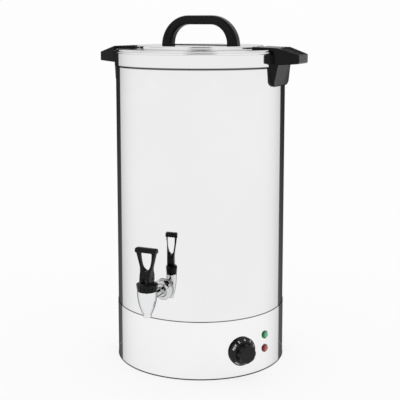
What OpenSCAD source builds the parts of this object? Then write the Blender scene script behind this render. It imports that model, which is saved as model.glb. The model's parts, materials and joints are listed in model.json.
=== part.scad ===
// Hot water urn, about 30 litres: a single-wall steel tank on a base shell that holds a
// concealed heating element, a thermostat with its knob, and two pilot lamps. A self-closing
// lever tap is at the front, a moulded handle at each side, and a lift-off lid on the rim.
// Frame: Z is the axis of the tank, z = 0 is the surface that the urn stands on, the tap
// faces -Y and the side handles lie along X. Millimetres.

/* [Tank] */
// Outer diameter of the tank wall
body_d = 300; // [285:1:330]
// Height of the top of the tank's rolled rim
rim_z = 551.8; // [520:0.2:620]
// Thickness of the tank wall
wall_t = 0.8; // [0.7:0.1:1.2]
// Height of the widened collar below the rolled rim
collar_h = 25.2; // [22:0.1:28]
// How far the collar stands out from the wall
collar_step = 1.8; // [1.2:0.1:2.5]
// Diameter of the rolled rim bead
bead_d = 3.8; // [3:0.1:4.4]
// Inside height of the tank floor above the standing surface
floor_z = 108; // [105:0.5:125]
// Thickness of the tank floor
floor_t = 1; // [0.8:0.1:1.5]

/* [Base] */
// Height of the seam between base shell and tank
seam_z = 102; // [98:0.5:104]
// Thickness of the base shell
shell_t = 0.8; // [0.6:0.1:1.2]
// How far the tank wall reaches down inside the base shell
lap = 14; // [8:0.5:18]
// Height of the moulded base ring that shows below the shell
foot_h = 2; // [1.5:0.1:3]
// Radial width of the ring's inner flange
ring_flange = 18; // [16:0.5:24]
// Thickness of the bottom cover sheet
cover_t = 0.8; // [0.6:0.1:1.2]
// Number of ventilation slots in the bottom cover
vent_n = 12; // [8:1:16]
// Number of screws that hold the bottom cover
cover_screw_n = 4; // [3:1:6]

/* [Element] */
// Diameter of the aluminium heat plate under the tank floor
plate_d = 190; // [170:2:210]
// Thickness of the heat plate
plate_t = 5; // [4.5:0.5:7]
// Radius of the element ring
element_r = 66; // [60:1:74]
// Diameter of the element tube
element_d = 8; // [6.5:0.5:8.5]
// Diameter of the thermostat's sensing bulb
bulb_d = 6; // [5:0.5:7]
// Length of the sensing bulb
bulb_len = 80; // [70:1:84]

/* [Lid] */
// Radius of the raised plateau of the lid
plateau_r = 112.5; // [106:0.5:114]
// Height of the plateau above the lid flange
plateau_h = 6; // [5.4:0.1:8]
// Thickness of the lid sheet
lid_t = 0.8; // [0.6:0.1:1.2]
// Height of the lid's turned edge
hem_h = 3.2; // [2.8:0.1:5]
// Diameter of the steam vent hole
vent_d = 6; // [4:0.5:10]
// Width of each moulded lid lug
lug_w = 72; // [60:1:78]
// Gap between the plateau's foot and a lug
lug_gap = 3.6; // [2:0.2:6]

/* [Lid handle] */
// Overall width of the lid handle
handle_w = 147; // [136:1:158]
// Height of the handle above the lid
handle_h = 52; // [48:0.5:60]
// Thickness of the bar, seen from the front
bar_t = 16; // [13:0.5:18]
// Depth of the bar, front to back
bar_d = 20; // [16:0.5:22]

/* [Side handles] */
// Distance that each grip stands out from the tank wall
grip_out = 41.8; // [36:0.2:52]
// Width of the grip at its outer end
grip_w = 50; // [46:1:60]
// Height of the grip's outer end face
grip_t = 15.1; // [14:0.1:18]
// Width of the block that hugs the collar
block_w = 106; // [100:1:112]
// Height of the leg below the block
leg_h = 40; // [34:0.5:60]
// Angle between the two screws of one handle
screw_spread = 14; // [12:0.5:18]

/* [Tap] */
// Height of the tap's shank above the standing surface
tap_z = 155.5; // [145:0.5:200]
// Distance of the spout's axis from the tank wall
tap_reach = 57.5; // [50:0.5:70]
// Diameter of the shank
shank_d = 13.6; // [12.6:0.1:15]
// Water bore of the shank and of the spout
bore_d = 9; // [7.5:0.5:9.5]
// Largest diameter of the spout
spout_d = 32.8; // [31:0.2:36]
// Diameter of the spout's straight tip
tip_d = 14; // [12.6:0.1:16]
// Length of the spout below the shank's axis
spout_len = 31.2; // [27:0.1:38]
// Diameter of the escutcheon flange
flange_d = 36; // [33:0.5:42]
// Height of the bonnet
bonnet_h = 14; // [13.5:0.1:18]
// Diameter of the bonnet at its rim
bonnet_d = 35.8; // [35:0.2:40]
// Number of grip ribs around the bonnet
rib_n = 16; // [12:1:20]
// Diameter of the valve stem
stem_d = 6; // [5:0.1:6.4]
// Diameter of the lever's pivot pin
pin_d = 4; // [3:0.1:4.2]
// Height of the lever above the bonnet
lever_h = 58; // [54:0.5:68]
// Width of the lever's cross bar
lever_w = 38; // [36:0.2:44]
// Lift of the valve for each radian of lever tilt
cam_k = 4.3; // [3:0.1:4.8]
// Largest lever tilt, in degrees
tilt_max = 42; // [30:1:44]
// Number of working coils of the tap spring
spring_n = 4.5; // [3.5:0.5:5]

/* [Knob and lamps] */
// Angle of the knob round the urn from the tap, in degrees
knob_az = 52.6; // [48:0.2:54]
// Height of the knob's axis
knob_z = 45.4; // [44:0.2:50]
// Diameter of the knob's skirt
knob_d = 50; // [48:0.5:56]
// Height of the knob above the base shell
knob_h = 21.5; // [19:0.5:28]
// Diameter of the knob's lobed grip
knob_grip_d = 33; // [28:0.5:34]
// Number of lobes round the grip
lobe_n = 8; // [6:1:12]
// Diameter of the thermostat shaft
shaft_d = 6; // [5:0.5:7]
// Angle of the lamps round the urn from the tap, in degrees
lamp_az = 72.4; // [71:0.2:76]
// Height of the red lamp
lamp_z = 39.4; // [36:0.2:44]
// Distance between the two lamps
lamp_pitch = 24.3; // [20:0.1:28]
// Diameter of a lamp lens
lens_d = 14; // [12.5:0.5:15]

/* [Cable inlet] */
// Height of the cable gland at the rear
gland_z = 42; // [40:0.5:50]
// Bore of the cable gland
gland_bore = 7.8; // [6.5:0.1:8.5]

/* [Fits] */
// Gap round moving pieces
clear = 0.3; // [0.2:0.05:0.4]
// Radial running fit of pins and shafts
fit = 0.06; // [0.03:0.01:0.09]

/* [Hidden] */
$fn = 72;
small = 0.05;              // seat gap between pieces that rest on each other and part
R = body_d / 2;            // outer radius of the tank wall
Rc = R + collar_step;      // outer radius of the collar
Rs = R + shell_t;          // outer radius of the base shell
Ri = R - wall_t;           // inner radius of the tank
joggle_h = 2;              // height of the step below the collar
collar_z = rim_z - collar_h;          // bottom of the collar
bead_r = bead_d / 2;
bead_at = Rc - 0.5;                   // radius of the bead's centre
cut = 1;                              // how far cutting tools run past a face

// base
cover_z = foot_h + 4;                 // underside of the ring's inner flange
flange_t = 3;                         // thickness of that flange
ring_in = R - 2.5 - ring_flange;      // inner radius of the flange
upstand_z = cover_z + flange_t + 5;   // top of the ring's upstand in the shell
cover_r = R - 8;                      // radius of the recess for the cover
boss_r = 5;
boss_at = ring_in + boss_r + 1;       // radius of the cover screws' circle
boss_z = upstand_z + 4;
self_tap_d = 3;
cover_screw_az = 20;                  // angle of the first cover screw

// element
plate_z = floor_z - floor_t - plate_t;       // underside of the heat plate
element_end = 20;                            // angle of each end of the element from -Y
tail_len = 18;                               // length of the element's turned-down tails
bulb_y = 34;                                 // the bulb lies along X at this y
bulb_z = plate_z - bulb_d / 2;
cutout_r = 12.5;
cutout_h = 8;
cutout_y = -22;
earth_y = (plate_d / 2 + Ri) / 2;

// lid
lid_gap = 0.1;
hem_z = rim_z + lid_gap;                     // bottom of the lid's turned edge
lid_z = hem_z + hem_h;                       // top of the lid flange
lid_r = bead_at - 0.6;                       // outer radius of the lid
top_z = lid_z + plateau_h;                   // top of the plateau
top_round = 2.4;                             // radii of the plateau's edge and of its foot
foot_round = 1.6;
skirt_r = Ri - 3.2;                          // outer radius of the locating ring
skirt_z = rim_z - 5.3;                       // bottom of the locating ring
skirt_edge = lid_r - 2 * lid_t - 0.5;        // outer radius of the ring's flange
lug_in = plateau_r + foot_round + lug_gap;   // inner radius of a lug
lug_out = lid_r + 3.9;                       // outer radius of a lug
lug_h = 4.9;                                 // height of a lug at its inner end
lug_drop = 1.3;                              // how much lower its outer end is
rivet_r = 2;
rivet_at = lug_in + 6.5;                     // radius of the rivets' circle
rivet_y = lug_w / 2 - 10;

// lid handle
foot_w = 20;                                 // width of a handle foot
foot_x = handle_w / 2 - foot_w / 2;          // centre of a foot
flat_out = 22;                               // half width of the handle's level top
web_t = 1.2;                                 // thin web that joins the feet on the lid
m5 = 5;
screw_depth = 14;

// side handles
block_z1 = rim_z - bead_d - 0.4;             // top of the block, under the bead
block_z0 = block_z1 - 15;                    // bottom of the block
leg_z0 = block_z0 - leg_h;                   // bottom of the leg
riser_in = lug_out + 0.5;                    // the riser clears the lug
slope_z = lid_z + lug_h - lug_drop;          // top of the grip's slope
grip_x = R + grip_out;                       // outer end of the grip
grip_z1 = slope_z - 11.7;                    // top edge of the end face
grip_z0 = grip_z1 - grip_t;                  // bottom edge of the end face
grip_root_w = lug_w + 1;
insert_r = 4;
insert_len = 9;
handle_screw_z = (block_z0 + block_z1) / 2;
washer_t = 1;

// tap
spout_y = -(R + tap_reach);                  // axis of the spout
spout_z0 = tap_z - spout_len;                // bottom of the tip
tip_len = 4.5;                               // straight length of the tip
shoulder_z = tap_z + 12.9;                   // top of the spout, where the bonnet sits
neck_r = spout_d / 2 - 2.2;                  // threaded neck inside the bonnet
neck_z = shoulder_z + 6.5;
seat_z = tap_z - 7;                          // valve seat
chamber_r = neck_r - 3.2;
bonnet_z = shoulder_z + bonnet_h;            // top face of the bonnet
bonnet_roof = 4.2;                           // thickness of the bonnet's roof
cap_in_z = bonnet_z - bonnet_roof;
pin_h = 6.6;                                 // pivot above the bonnet's top
pin_z = bonnet_z + small + pin_h;
washer_out_t = 1.5;                          // outer washer, at its thinnest
washer_in_t = 2;
flange_at = R + washer_out_t;                // back of the escutcheon flange
nut_at = Ri - washer_in_t;                   // outer face of the lock nut
nut_t = 7;
nut_af = 24;
shank_in = nut_at - nut_t - 4;               // inner end of the shank
slot_w = 6.6;                                // pocket of the lever for the stem's eye
eye_w = slot_w - 2 * clear;
eye_r = 4.2;                                 // eye on top of the stem
neck_w = 18.6;                               // lever neck, seen from the front and the side
neck_t = 17;
pin_inset = 1.4;                             // the pin's ends lie this deep in the neck
lever_t = 5;                                 // thickness of the lever's two legs
lean = 1.4;                                  // how far its top leans to the front
cross_t = 9.6;                               // thickness and height of its cross bar
cross_h = 8.2;
heel_back = 6.2;                             // flat heel behind the pin
collar_r = 8;                                // spring collar of the stem
spring_z0 = tap_z + 8;                       // top of the spring collar
wire_d = 1.2;
spring_r = 6.9;

// knob and thermostat
panel_r = Rs;                                // the panel pieces sit on the shell
knob_gap = 1.5;
skirt_top = 9.5;                             // height of the number ring's inner edge
ring_r = knob_d / 2 - 6;                     // inner radius of the conical skirt
cavity_r = knob_d / 2 - 4.5;
cavity_z = 6;
hub_r = shaft_d / 2 + 3;
shaft_out = knob_h - 9;
bush_r = shaft_d / 2 + 2.2;
plate_half = 17;                             // half width of the thermostat's plate
plate_at = sqrt(R * R - plate_half * plate_half) - small;
stat_plate_t = 1.5;
stat_w = 20;
stat_h = 34;
stat_d = 22;
stat_screw_x = 14;
stat_screw_head = 3.8;

// lamps
barrel_r = 5;
barrel_len = 22;
clip_t = 0.6;

// cable inlet
gland_r = gland_bore / 2 + 3.6;              // threaded part through the shell
gland_out = 16;
gland_in = 14;
gland_nut_t = 5;
gland_nut_af = 22;
block_len = 40;
block_depth = 15;
block_h = 13;
block_at = ring_in + block_depth / 2 + 1;

capillary_d = 1.8;

// ---------------------------------------------------------------- shared shapes

function unit(v) = v / norm(v);

// Arc of n steps round [x, y], from angle a0 to a1.
function arc(x, y, r, a0, a1, n = 8) =
    [for (i = [0:n]) let (a = a0 + (a1 - a0) * i / n) [x + r * cos(a), y + r * sin(a)]];

// Elliptical arc with half axes rx and ry.
function oval(x, y, rx, ry, a0, a1, n = 12) =
    [for (i = [0:n]) let (a = a0 + (a1 - a0) * i / n) [x + rx * cos(a), y + ry * sin(a)]];

// The arc that rounds corner b, between its neighbours a and c, to radius r.
function fillet(a, b, c, r, n) =
    r <= 0 ? [b] :
    let (u = unit(a - b), v = unit(c - b), half = acos(u * v) / 2,
         o = b + unit(u + v) * r / sin(half),
         s = b + u * r / tan(half) - o, e = b + v * r / tan(half) - o,
         a0 = atan2(s[1], s[0]), turn = atan2(e[1], e[0]) - a0,
         sweep = turn > 180 ? turn - 360 : turn < -180 ? turn + 360 : turn)
    [for (i = [0:n]) o + r * [cos(a0 + sweep * i / n), sin(a0 + sweep * i / n)]];

// Outline p with its corners rounded to the radii in r.
function rounded(p, r, n = 5) = let (m = len(p))
    [for (i = [0:m - 1]) each fillet(p[(i + m - 1) % m], p[i], p[(i + 1) % m], r[i], n)];

module tube(ro, ri, z0, z1) {
    translate([0, 0, z0]) difference() {
        cylinder(r = ro, h = z1 - z0);
        translate([0, 0, -cut]) cylinder(r = ri, h = z1 - z0 + 2 * cut);
    }
}

// A place on a cylinder of radius r: local Z points outwards and local Y up.
module on_round(az, z, r) {
    rotate([0, 0, az]) translate([0, -r, z]) rotate([90, 0, 0]) children();
}

// The tap's place: origin on the spout's axis at height z.
module at_spout(z) {
    translate([0, spout_y, z]) children();
}

// A pan-head screw along +Z, its head below z = 0.
module screw(d, len, head_r, head_h) {
    cylinder(d = d, h = len);
    translate([0, 0, -head_h]) cylinder(r = head_r, h = head_h);
}

module hex_nut(af, h, bore_r) {
    difference() {
        cylinder(d = af / cos(30), h = h, $fn = 6);
        translate([0, 0, -cut]) cylinder(r = bore_r, h = h + 2 * cut);
    }
}

// A round bar of diameter d along a smooth curve through the points p.
function spline_point(a, b, c, d, t) =
    0.5 * (2 * b + (c - a) * t + (2 * a - 5 * b + 4 * c - d) * t * t
    + (3 * b - a - 3 * c + d) * t * t * t);
function spline(p, steps) = let (m = len(p) - 1)
    [for (i = [0:m - 1]) for (s = [0:steps - 1])
        spline_point(p[max(0, i - 1)], p[i], p[i + 1], p[min(m, i + 2)], s / steps), p[m]];
module bar(path, d, sides, up = [0, 0, 1]) {
    m = len(path) - 1;
    rings = [for (i = [0:m])
        let (t = unit(path[min(m, i + 1)] - path[max(0, i - 1)]),
             u = unit(cross(up, t)), v = cross(t, u))
        for (k = [0:sides - 1]) let (a = 360 * k / sides)
            path[i] + d / 2 * (cos(a) * u + sin(a) * v)];
    sides_list = [for (i = [0:m - 1]) for (k = [0:sides - 1]) let (n = (k + 1) % sides)
        each [[i * sides + k, i * sides + n, (i + 1) * sides + n],
              [i * sides + k, (i + 1) * sides + n, (i + 1) * sides + k]]];
    ends = [[for (k = [sides - 1:-1:0]) k], [for (k = [0:sides - 1]) m * sides + k]];
    polyhedron(points = rings, faces = concat([for (f = sides_list) [f[2], f[1], f[0]]],
        [for (f = ends) [for (k = [len(f) - 1:-1:0]) f[k]]]));
}

// ---------------------------------------------------------------- base

module cover_screw_places() {
    for (i = [0:cover_screw_n - 1])
        rotate([0, 0, cover_screw_az + i * 360 / cover_screw_n]) translate([boss_at, 0, 0])
            children();
}

module block_screw_places() {
    for (x = [-1, 1]) translate([x * block_len * 0.375, block_at, 0]) children();
}

module base_ring() {
    color("#1b1b1c") difference() {
        union() {
            rotate_extrude() polygon([[cover_r, 0], [Rs, 0], [Rs + 0.4, 0.4],
                [Rs + 0.4, foot_h], [R, foot_h], [R, upstand_z], [R - 2.5, upstand_z],
                [R - 2.5, cover_z + flange_t], [ring_in, cover_z + flange_t],
                [ring_in, cover_z], [cover_r, cover_z]]);
            cover_screw_places() translate([0, 0, cover_z]) cylinder(r = boss_r, h = boss_z - cover_z);
        }
        cover_screw_places() translate([0, 0, cover_z - cut])
            cylinder(d = self_tap_d, h = boss_z - cover_z - 1 + cut);
        block_screw_places() translate([0, 0, cover_z - cut])
            cylinder(d = self_tap_d, h = flange_t + 2 * cut);
    }
}

module bottom_cover() {
    slot_l = 34;
    slot_w = 4;
    color("#a9abad") difference() {
        translate([0, 0, cover_z - cover_t]) cylinder(r = cover_r - clear, h = cover_t);
        cover_screw_places() translate([0, 0, -cut]) cylinder(d = self_tap_d + 0.6, h = cover_z + 2 * cut);
        for (i = [0:vent_n - 1]) rotate([0, 0, (i + 0.5) * 360 / vent_n])
            translate([plate_d / 2 - slot_l - 6, -slot_w / 2, -cut])
                cube([slot_l, slot_w, cover_z + 2 * cut]);
        translate([0, cutout_y, -cut]) cylinder(r = 4, h = cover_z + 2 * cut);
    }
}

module bottom_cover_screws() {
    color("#c8c9ca") cover_screw_places() translate([0, 0, cover_z - cover_t])
        screw(self_tap_d, boss_z - cover_z - 2, 3.4, 2.2);
}

module base_shell() {
    color("#e2e3e4") difference() {
        rotate_extrude() polygon([[R, foot_h], [Rs, foot_h], [Rs, seam_z - 0.4],
            [Rs - 0.4, seam_z], [R, seam_z]]);
        on_round(knob_az, knob_z, panel_r) {
            translate([0, 0, -5]) cylinder(r = bush_r + clear, h = 10);
            for (x = [-1, 1]) translate([x * stat_screw_x, 0, -5]) cylinder(r = 2.2, h = 10);
        }
        for (i = [0, 1]) on_round(lamp_az, lamp_z + i * lamp_pitch, panel_r)
            translate([0, 0, -5]) cylinder(r = barrel_r + 0.1, h = 10);
        on_round(180, gland_z, panel_r) translate([0, 0, -5]) cylinder(r = gland_r + 0.1, h = 10);
    }
}

// ---------------------------------------------------------------- tank

module handle_screw_places(r) {
    for (side = [90, -90], a = [-1, 1]) on_round(side + a * screw_spread / 2, handle_screw_z, r)
        children();
}

module tank_wall() {
    lift = joggle_h + collar_step;
    color("#dfe1e2") difference() {
        union() {
            rotate_extrude() polygon([[R, seam_z - lap], [R, collar_z - joggle_h],
                [Rc, collar_z], [Rc, rim_z - bead_r], [Rc - wall_t, rim_z - bead_r],
                [Rc - wall_t, collar_z + 0.4], [Ri, collar_z - joggle_h + 0.4],
                [Ri, seam_z - lap]]);
            translate([0, 0, rim_z - bead_r]) rotate_extrude() translate([bead_at, 0])
                circle(r = bead_r, $fn = 24);
        }
        on_round(0, tap_z, R) translate([0, 0, -lift]) cylinder(d = shank_d + 0.4, h = 2 * lift);
        handle_screw_places(Rc) translate([0, 0, -lift]) cylinder(d = m5 + 0.4, h = 2 * lift);
    }
}

module tank_floor() {
    edge = 4;
    color("#d4d6d8") rotate_extrude() polygon(concat(
        [[0, floor_z]], arc(Ri - edge, floor_z - edge, edge, 90, 0),
        [[Ri, floor_z - 10], [Ri - floor_t, floor_z - 10]],
        arc(Ri - edge, floor_z - edge, edge - floor_t, 0, 90), [[0, floor_z - floor_t]]));
}

// ---------------------------------------------------------------- element and controls

// A ring of the given outline, open for twice element_end at the front.
module open_ring() {
    translate([0, 0, plate_z]) rotate([0, 0, -90 + element_end])
        rotate_extrude(angle = 360 - 2 * element_end) children();
}

module element_ends() {
    inset = 4.2;
    for (s = [-1, 1]) rotate([0, 0, -90 + s * (element_end + inset)])
        translate([element_r, 0, plate_z]) children();
}

module heat_plate() {
    color("#b9bcc0") difference() {
        translate([0, 0, plate_z]) cylinder(d = plate_d, h = plate_t);
        open_ring() polygon(concat([[element_r - element_d / 2, -cut], [element_r + element_d / 2, -cut]],
            arc(element_r, 0, element_d / 2, 0, 180, 8)));
        for (s = [-1, 1]) {
            translate([s * (cutout_r + 4), cutout_y, plate_z - cut]) cylinder(d = self_tap_d, h = 5);
            translate([0, bulb_y + s * (bulb_d / 2 + 5), plate_z - cut]) cylinder(d = self_tap_d, h = 5);
        }
    }
}

module heating_element() {
    color("#8a8d90") {
        open_ring() polygon(arc(element_r, 0, element_d / 2, 0, 337.5, 15));
        element_ends() translate([0, 0, -tail_len]) cylinder(d = element_d - 1, h = tail_len);
    }
}

module element_terminals() {
    bead_len = 5;
    tab = [6.3, 0.8, 9];
    color("#ece7da") element_ends() translate([0, 0, -tail_len - bead_len]) {
        cylinder(d = element_d - 2, h = bead_len);
        translate([-tab[0] / 2, -tab[1] / 2, -tab[2]]) cube(tab);
    }
}

module sensor_bulb() {
    color("#b87333") translate([-bulb_len / 2, bulb_y, bulb_z]) rotate([0, 90, 0])
        cylinder(d = bulb_d, h = bulb_len);
}

// A saddle strap round the bulb with a foot at each side, bent from one strip.
module bulb_clip() {
    t = 1;
    w = 12;
    seat = bulb_d / 2;
    ri = seat + small;
    ro = ri + t;
    foot = ri + 9;
    strip = concat([[foot, seat], [foot, seat - t], [ro, seat - t]], arc(0, 0, ro, 0, -180, 12),
        [[-ro, seat - t], [-foot, seat - t], [-foot, seat], [-ri, seat]],
        arc(0, 0, ri, 180, 360, 12), [[ri, seat]]);
    color("#c3c6c8") difference() {
        translate([-w / 2, bulb_y, bulb_z]) rotate([90, 0, 90]) linear_extrude(w) polygon(strip);
        for (s = [-1, 1]) translate([0, bulb_y + s * (seat + 5), plate_z - 5])
            cylinder(d = self_tap_d, h = 10);
    }
}

module bulb_clip_screws() {
    color("#c8c9ca") for (s = [-1, 1])
        translate([0, bulb_y + s * (bulb_d / 2 + 5), plate_z - 1]) screw(self_tap_d, 4.5, 2.8, 2);
}

// The capillary leaves the back of the thermostat and ends in the bulb.
module capillary_tube() {
    c = cos(knob_az);
    s = sin(knob_az);
    back = plate_at - stat_plate_t - stat_d;
    start = [s * back, -c * back, knob_z + 8];
    route = [start, start + [-12 * s, 12 * c, 0.5], [74, -28, 62], [62, 4, 74], [56, 24, plate_z - 12],
        [bulb_len / 2 + 8, bulb_y, bulb_z - 1], [bulb_len / 2, bulb_y, bulb_z]];
    color("#b87333") bar(spline(route, 5), capillary_d, 8);
}

module thermal_cutout() {
    color("#2b2b2d") difference() {
        translate([0, cutout_y, plate_z]) union() {
            translate([0, 0, -cutout_h]) cylinder(r = cutout_r, h = cutout_h);
            translate([-cutout_r - 8, -4, -1.2]) cube([2 * cutout_r + 16, 8, 1.2]);
            translate([0, 0, -cutout_h - 5]) cylinder(r = 2.5, h = 5);
            for (x = [-1, 1]) translate([x * 7 - 0.4, -3.15, -cutout_h - 8]) cube([0.8, 6.3, 8]);
        }
        for (s = [-1, 1]) translate([s * (cutout_r + 4), cutout_y, plate_z - 5])
            cylinder(d = self_tap_d, h = 10);
    }
}

module cutout_screws() {
    color("#c8c9ca") for (s = [-1, 1])
        translate([s * (cutout_r + 4), cutout_y, plate_z - 1.2]) screw(self_tap_d, 4.5, 2.8, 2);
}

module at_knob() {
    on_round(knob_az, knob_z, panel_r) children();
}

module thermostat() {
    front = plate_at - panel_r;
    color("#d8d4c8") at_knob() difference() {
        union() {
            translate([-plate_half, -stat_h / 2, front - stat_plate_t])
                cube([2 * plate_half, stat_h, stat_plate_t]);
            translate([-stat_w / 2, -stat_h / 2, front - stat_plate_t - stat_d])
                cube([stat_w, stat_h, stat_d + 0.5]);
            translate([0, 0, front - 1]) cylinder(r = bush_r, h = 2 - front);
            for (x = [-1, 1], y = [-1, 1])
                translate([x * 5 - 0.4, y * 9 - 3.15, front - stat_plate_t - stat_d - 8])
                    cube([0.8, 6.3, 9]);
        }
        translate([0, 0, front - stat_plate_t - 14]) cylinder(r = shaft_d / 2 + fit, h = 40);
        for (x = [-1, 1]) translate([x * stat_screw_x, 0, front - 10]) cylinder(d = 4, h = 20);
    }
}

module thermostat_screws() {
    sag = Rs - sqrt(Rs * Rs - pow(stat_screw_x - stat_screw_head, 2));
    color("#c8c9ca") at_knob() for (x = [-1, 1]) translate([x * stat_screw_x, 0, -sag + 0.02])
        rotate([180, 0, 0]) screw(4, 5, stat_screw_head, 2.2);
}

module thermostat_shaft() {
    front = plate_at - panel_r;
    color("#b9bcc0") at_knob() translate([0, 0, front - stat_plate_t - 12])
        difference() {
            cylinder(d = shaft_d, h = shaft_out - front + stat_plate_t + 12);
            translate([-shaft_d, shaft_d / 2 - 1.2, 16]) cube([2 * shaft_d, shaft_d, 30]);
        }
}

// Lobed outline of the knob's grip: round lobes that meet in sharp notches.
function lobes(r, depth, n) = [for (i = [0:12 * n - 1]) let (a = 360 * i / (12 * n))
    (r - depth * (1 - abs(cos(a * n / 2)))) * [cos(a), sin(a)]];

module knob() {
    grip_r = knob_grip_d / 2;
    color("#1c1c1d") at_knob() difference() {
        union() {
            rotate_extrude() polygon([[0, knob_gap], [knob_d / 2, knob_gap],
                [knob_d / 2, knob_gap + 1.6], [knob_d / 2 - 0.8, knob_gap + 2.4],
                [ring_r, skirt_top], [ring_r - 1.2, skirt_top + 0.4], [0, skirt_top + 0.4]]);
            intersection() {
                translate([0, 0, skirt_top - 1]) linear_extrude(knob_h - skirt_top + 1)
                    polygon(lobes(grip_r, 2.4, lobe_n));
                rotate_extrude() polygon([[0, 0], [grip_r + 1, 0], [grip_r + 0.2, knob_h - 2.6],
                    [grip_r - 1.2, knob_h - 0.8], [grip_r - 3.4, knob_h], [0, knob_h]]);
            }
        }
        difference() {
            translate([0, 0, -cut]) cylinder(r = cavity_r, h = cavity_z + cut);
            translate([0, 0, -2 * cut]) cylinder(r = hub_r, h = cavity_z + 3 * cut);
        }
        difference() {
            translate([0, 0, -cut]) cylinder(d = shaft_d, h = shaft_out + cut);
            translate([-shaft_d, shaft_d / 2 - 1.2, knob_gap]) cube([2 * shaft_d, shaft_d, 30]);
        }
    }
}

// ---------------------------------------------------------------- lamps

module lens(z) {
    rim = lens_d / 2;
    on_round(lamp_az, z, panel_r) rotate_extrude() polygon(concat([[0, 0], [rim, 0], [rim, 1.2],
        [rim - 0.6, 1.8]], oval(0, 1.8, rim - 1.4, 3.4, 0, 90), [[0, 1.8 + 3.4]]));
}

module lamp_green() {
    color("#46c46e") lens(lamp_z + lamp_pitch);
}

module lamp_red() {
    color("#c8484a") lens(lamp_z);
}

module lamp_holders() {
    color("#eceade") for (i = [0, 1]) on_round(lamp_az, lamp_z + i * lamp_pitch, panel_r) {
        translate([0, 0, -barrel_len]) cylinder(r = barrel_r, h = barrel_len);
        for (x = [-1, 1]) translate([x * 2.5 - 0.4, -2.4, -barrel_len - 7]) cube([0.8, 4.8, 7]);
    }
}

module lamp_clips() {
    seat = Rs - sqrt(R * R - 64) + small;
    color("#9a9da0") for (i = [0, 1]) on_round(lamp_az, lamp_z + i * lamp_pitch, panel_r)
        tube(8, barrel_r, -seat - clip_t, -seat);
}

// ---------------------------------------------------------------- supply side

module terminal_block() {
    z0 = cover_z + flange_t;
    way = block_len / 5;
    color("#e9e6da") difference() {
        translate([-block_len / 2, block_at - block_depth / 2, z0]) cube([block_len, block_depth, block_h]);
        block_screw_places() translate([0, 0, z0 - cut]) cylinder(r = 1.8, h = block_h + 2 * cut);
        for (i = [-1:1]) translate([i * way, block_at - block_depth, z0 + block_h / 2])
            rotate([-90, 0, 0]) cylinder(r = 1.9, h = block_depth);
    }
}

module terminal_block_screws() {
    color("#c8c9ca") block_screw_places() translate([0, 0, cover_z + flange_t + block_h])
        rotate([180, 0, 0]) screw(self_tap_d, block_h + flange_t - 1, 3, 2);
}

module earth_stud() {
    color("#c9a227") translate([0, earth_y, floor_z - floor_t - 16]) cylinder(d = m5, h = 16);
}

module earth_nuts() {
    color("#c9a227") for (i = [0, 1]) translate([0, earth_y, floor_z - floor_t - 5 - i * 6])
        hex_nut(8, 4, m5 / 2);
}

module cable_gland() {
    rim = gland_r + 3;
    color("#1d1d1e") on_round(180, gland_z, panel_r) difference() {
        union() {
            translate([0, 0, -gland_in]) cylinder(r = gland_r, h = gland_in + 1);
            rotate_extrude() polygon([[0, 0], [rim, 0], [rim, 5], [rim - 1, 6], [rim - 1.4, 11],
                [rim - 4.2, gland_out], [0, gland_out]]);
        }
        for (i = [0:11]) rotate([0, 0, i * 30]) translate([rim + 0.6, 0, 6.5]) cylinder(r = 1.3, h = 8);
        translate([0, 0, -gland_in - cut]) cylinder(d = gland_bore, h = gland_in + gland_out + 2 * cut);
    }
}

module gland_nut() {
    seat = Rs - sqrt(R * R - pow(gland_nut_af / 2, 2)) + small;
    color("#1d1d1e") on_round(180, gland_z, panel_r) translate([0, 0, -seat - gland_nut_t])
        rotate([0, 0, 30]) hex_nut(gland_nut_af, gland_nut_t, gland_r);
}

// ---------------------------------------------------------------- tap

// Half outline of the spout: a short straight tip and a long convex taper.
function spout_outline() = let (tip = tip_d / 2, top = spout_d / 2, z0 = spout_z0 + tip_len,
        h = shoulder_z - 1 - z0, w = top - tip, chord = norm([w, h]), bulge = 2.6,
        r = chord * chord / (8 * bulge) + bulge / 2, mid = [tip + w / 2, z0 + h / 2],
        o = mid - (r - bulge) * [h, -w] / chord,
        a0 = atan2(z0 - o[1], tip - o[0]), a1 = atan2(z0 + h - o[1], top - o[0]))
    concat([[tip - 0.8, spout_z0], [tip, spout_z0 + 0.8]], arc(o[0], o[1], r, a0, a1, 14),
        [[top, shoulder_z - 0.5], [top - 0.5, shoulder_z]]);

module tap_body() {
    shank_len = -spout_y - shank_in;
    color("#dcdee0") difference() {
        union() {
            at_spout(0) rotate_extrude() polygon(concat([[0, spout_z0]], spout_outline(),
                [[neck_r, shoulder_z], [neck_r, neck_z], [0, neck_z]]));
            at_spout(tap_z) rotate([-90, 0, 0]) cylinder(d = shank_d, h = shank_len);
        }
        at_spout(spout_z0 - cut) cylinder(d = bore_d, h = spout_len + cut);
        at_spout(seat_z) cylinder(r = chamber_r, h = neck_z - seat_z + cut);
        at_spout(tap_z) rotate([-90, 0, 0]) cylinder(d = bore_d, h = shank_len + cut);
    }
}

module tap_flange() {
    inner = shank_d / 2;
    rim = flange_d / 2;
    color("#d3d5d8") on_round(0, tap_z, flange_at) rotate_extrude()
        polygon(concat([[inner, 0], [rim, 0], [rim, 1.4], [rim - 0.6, 2]],
            [for (p = arc(rim - 1.2, 9, 6.6, 258, 188, 8)) p], [[inner, 8.6]]));
}

module tap_outer_washer() {
    color("#e8e8e6") difference() {
        on_round(0, tap_z, flange_at) translate([0, 0, -8]) tube(flange_d / 2 - 0.8, shank_d / 2, 0, 8);
        translate([0, 0, tap_z - flange_d]) cylinder(r = R, h = 2 * flange_d, $fn = 360);
    }
}

module tap_inner_washer() {
    color("#e8e8e6") intersection() {
        on_round(0, tap_z, nut_at) tube(nut_af / 2 + 1, shank_d / 2, 0, 8);
        translate([0, 0, tap_z - flange_d]) cylinder(r = Ri, h = 2 * flange_d, $fn = 360);
    }
}

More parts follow.
